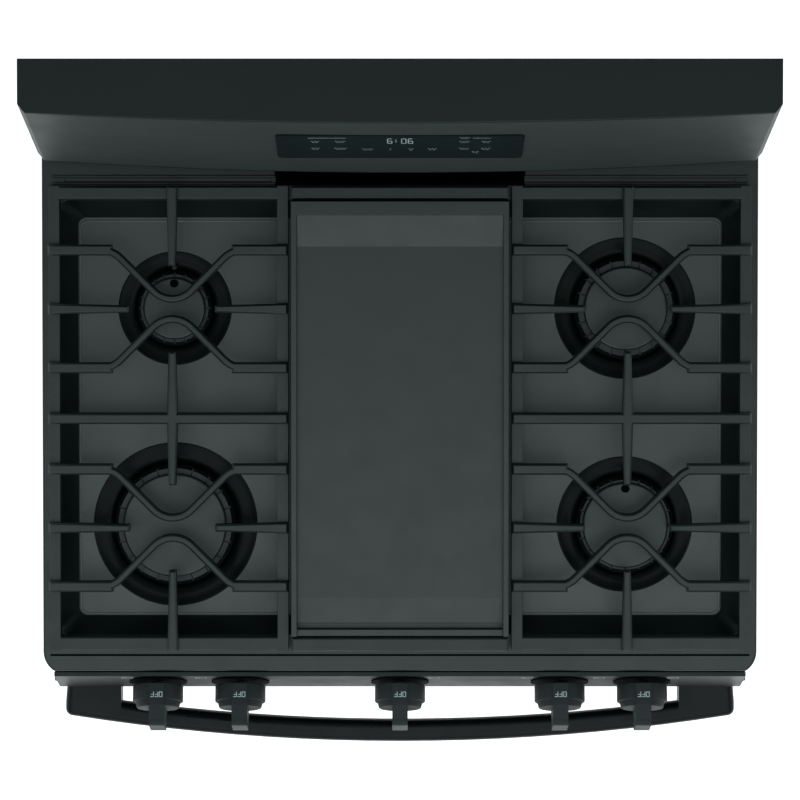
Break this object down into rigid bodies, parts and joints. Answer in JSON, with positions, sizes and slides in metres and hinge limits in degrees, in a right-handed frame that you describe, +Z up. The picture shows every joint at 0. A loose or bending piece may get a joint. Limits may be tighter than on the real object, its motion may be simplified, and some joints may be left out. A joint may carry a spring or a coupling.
{
  "type": "freestanding gas range",
  "caption": "Freestanding gas range with a sealed-burner cooktop, cast grates and griddle, front knobs, an oven with a drop-down door, a storage drawer and a slanted backguard.",
  "frame": {"origin": "on the floor under the middle of the range: half way across its width, and half way from its back to the front of the door handle", "axes": "+X to the right as seen by someone standing in front, +Y to the back, +Z up"},
  "size_m": [0.759, 0.726, 1.17],
  "materials": {
    "slate_metal": "satin dark slate metallic coating",
    "side_paint": "low-sheen textured dark grey paint",
    "galvanised_steel": "dull zinc-coated sheet and tube",
    "oven_enamel": "glossy dark porcelain enamel with fine flecks",
    "chrome_wire": "bright plated wire",
    "cast_iron": "matte black enamelled casting, fine pebble texture",
    "griddle_coating": "dark nonstick coating, fine grain",
    "cap_enamel": "matte black enamel",
    "cast_aluminium": "cast, slightly rough",
    "brass": "machined",
    "spindle_steel": "drawn steel",
    "knob_metal": "satin dark slate",
    "black_plastic": "moulded, fine texture",
    "leg_steel": "zinc-plated steel",
    "handle_metal": "satin dark slate coating over a formed bar",
    "door_glass": "dark tinted glass",
    "control_glass": "glossy black printed glass",
    "lamp_glass": "clear lamp cover",
    "ceramic": "white glazed ceramic",
    "circuit_board": "green laminate",
    "gasket": "braided glass-fibre cord",
    "insulation": "loose glass-fibre wool"
  },
  "bodies": {
    "cabinet": {"cooktop": "slate_metal", "control_panel": "slate_metal", "backguard_shell": "slate_metal", "backguard_face": "slate_metal", "vent_trim": "slate_metal", "side_panel_left": "side_paint", "side_panel_right": "side_paint", "back_panel": "galvanised_steel", "base_frame": "galvanised_steel", "drawer_rails": "galvanised_steel", "gas_manifold": "galvanised_steel", "flue_duct": "oven_enamel", "front_frame": "oven_enamel", "oven_liner": "oven_enamel", "oven_floor": "oven_enamel", "rack_guides": "chrome_wire", "burner_heads": "cast_aluminium", "burner_tubes": "cast_aluminium", "gas_regulator": "cast_aluminium", "burner_valves": "brass", "oven_sensor": "spindle_steel", "bake_burner": "spindle_steel", "broil_burner": "spindle_steel", "knob_bezels": "black_plastic", "control_glass": "control_glass", "oven_lamp": "lamp_glass", "spark_electrodes": "ceramic", "control_board": "circuit_board", "door_gasket": "gasket", "insulation_blanket": "insulation"},
    "door": {"door_panel": "slate_metal", "door_liner": "oven_enamel", "door_glass": "door_glass", "door_handle": "handle_metal", "door_hinges": "galvanised_steel"},
    "drawer": {"storage_drawer": "slate_metal"},
    "rack": {"oven_rack": "chrome_wire"},
    "spindle_left_outer": {"valve_spindle_left_outer": "spindle_steel"},
    "knob_left_outer": {"knob_left_outer": "knob_metal"},
    "spindle_left_inner": {"valve_spindle_left_inner": "spindle_steel"},
    "knob_left_inner": {"knob_left_inner": "knob_metal"},
    "spindle_middle": {"valve_spindle_middle": "spindle_steel"},
    "knob_middle": {"knob_middle": "knob_metal"},
    "spindle_right_inner": {"valve_spindle_right_inner": "spindle_steel"},
    "knob_right_inner": {"knob_right_inner": "knob_metal"},
    "spindle_right_outer": {"valve_spindle_right_outer": "spindle_steel"},
    "knob_right_outer": {"knob_right_outer": "knob_metal"},
    "cap_rear_left": {"burner_cap_rear_left": "cap_enamel"},
    "cap_front_left": {"burner_cap_front_left": "cap_enamel"},
    "cap_rear_right": {"burner_cap_rear_right": "cap_enamel"},
    "cap_front_right": {"burner_cap_front_right": "cap_enamel"},
    "cap_center": {"burner_cap_center": "cap_enamel"},
    "grate_left": {"grate_left": "cast_iron"},
    "grate_right": {"grate_right": "cast_iron"},
    "center_grate": {"center_grate": "cast_iron"},
    "griddle": {"griddle": "griddle_coating"},
    "leg_front_left": {"leveling_leg_front_left": "leg_steel"},
    "leg_front_right": {"leveling_leg_front_right": "leg_steel"},
    "leg_rear_left": {"leveling_leg_rear_left": "leg_steel"},
    "leg_rear_right": {"leveling_leg_rear_right": "leg_steel"}
  },
  "joints": [
    {"name": "door_hinge", "type": "hinge", "parent": "cabinet", "child": "door", "pos_m": [0, -0.28, 0.246], "axis": [1, 0, 0], "range_deg": [0, 90]},
    {"name": "drawer_slide", "type": "slide", "parent": "cabinet", "child": "drawer", "axis": [0, -1, 0], "range_m": [0, 0.4]},
    {"name": "rack_slide", "type": "slide", "parent": "cabinet", "child": "rack", "axis": [0, -1, 0], "range_m": [0, 0.02]},
    {"name": "turn_left_outer", "type": "hinge", "parent": "cabinet", "child": "spindle_left_outer", "pos_m": [-0.26, -0.28965, 0.872], "axis": [0, -0.9632, 0.2689], "range_deg": [0, 230]},
    {"name": "push_left_outer", "type": "slide", "parent": "spindle_left_outer", "child": "knob_left_outer", "axis": [0, 0.9632, -0.2689], "range_m": [0, 0.003], "stiffness_N_per_m": 1500, "springref_m": -0.001},
    {"name": "turn_left_inner", "type": "hinge", "parent": "cabinet", "child": "spindle_left_inner", "pos_m": [-0.1715, -0.28965, 0.872], "axis": [0, -0.9632, 0.2689], "range_deg": [0, 230]},
    {"name": "push_left_inner", "type": "slide", "parent": "spindle_left_inner", "child": "knob_left_inner", "axis": [0, 0.9632, -0.2689], "range_m": [0, 0.003], "stiffness_N_per_m": 1500, "springref_m": -0.001},
    {"name": "turn_middle", "type": "hinge", "parent": "cabinet", "child": "spindle_middle", "pos_m": [0, -0.28965, 0.872], "axis": [0, -0.9632, 0.2689], "range_deg": [0, 230]},
    {"name": "push_middle", "type": "slide", "parent": "spindle_middle", "child": "knob_middle", "axis": [0, 0.9632, -0.2689], "range_m": [0, 0.003], "stiffness_N_per_m": 1500, "springref_m": -0.001},
    {"name": "turn_right_inner", "type": "hinge", "parent": "cabinet", "child": "spindle_right_inner", "pos_m": [0.1715, -0.28965, 0.872], "axis": [0, -0.9632, 0.2689], "range_deg": [0, 230]},
    {"name": "push_right_inner", "type": "slide", "parent": "spindle_right_inner", "child": "knob_right_inner", "axis": [0, 0.9632, -0.2689], "range_m": [0, 0.003], "stiffness_N_per_m": 1500, "springref_m": -0.001},
    {"name": "turn_right_outer", "type": "hinge", "parent": "cabinet", "child": "spindle_right_outer", "pos_m": [0.26, -0.28965, 0.872], "axis": [0, -0.9632, 0.2689], "range_deg": [0, 230]},
    {"name": "push_right_outer", "type": "slide", "parent": "spindle_right_outer", "child": "knob_right_outer", "axis": [0, 0.9632, -0.2689], "range_m": [0, 0.003], "stiffness_N_per_m": 1500, "springref_m": -0.001},
    {"name": "lift_cap_rear_left", "type": "slide", "parent": "cabinet", "child": "cap_rear_left", "axis": [0, 0, 1], "range_m": [0, 0.01]},
    {"name": "lift_cap_front_left", "type": "slide", "parent": "cabinet", "child": "cap_front_left", "axis": [0, 0, 1], "range_m": [0, 0.01]},
    {"name": "lift_cap_rear_right", "type": "slide", "parent": "cabinet", "child": "cap_rear_right", "axis": [0, 0, 1], "range_m": [0, 0.01]},
    {"name": "lift_cap_front_right", "type": "slide", "parent": "cabinet", "child": "cap_front_right", "axis": [0, 0, 1], "range_m": [0, 0.01]},
    {"name": "lift_cap_center", "type": "slide", "parent": "cabinet", "child": "cap_center", "axis": [0, 0, 1], "range_m": [0, 0.01]},
    {"name": "lift_grate_left", "type": "slide", "parent": "cabinet", "child": "grate_left", "axis": [0, 0, 1], "range_m": [0, 0.1]},
    {"name": "lift_grate_right", "type": "slide", "parent": "cabinet", "child": "grate_right", "axis": [0, 0, 1], "range_m": [0, 0.1]},
    {"name": "lift_center_grate", "type": "slide", "parent": "cabinet", "child": "center_grate", "axis": [0, 0, 1], "range_m": [0, 0.1]},
    {"name": "lift_griddle", "type": "slide", "parent": "center_grate", "child": "griddle", "axis": [0, 0, 1], "range_m": [0, 0.1]},
    {"name": "adjust_leg_front_left", "type": "slide", "parent": "cabinet", "child": "leg_front_left", "axis": [0, 0, -1], "range_m": [0, 0.02]},
    {"name": "adjust_leg_front_right", "type": "slide", "parent": "cabinet", "child": "leg_front_right", "axis": [0, 0, -1], "range_m": [0, 0.02]},
    {"name": "adjust_leg_rear_left", "type": "slide", "parent": "cabinet", "child": "leg_rear_left", "axis": [0, 0, -1], "range_m": [0, 0.02]},
    {"name": "adjust_leg_rear_right", "type": "slide", "parent": "cabinet", "child": "leg_rear_right", "axis": [0, 0, -1], "range_m": [0, 0.02]}
  ]
}
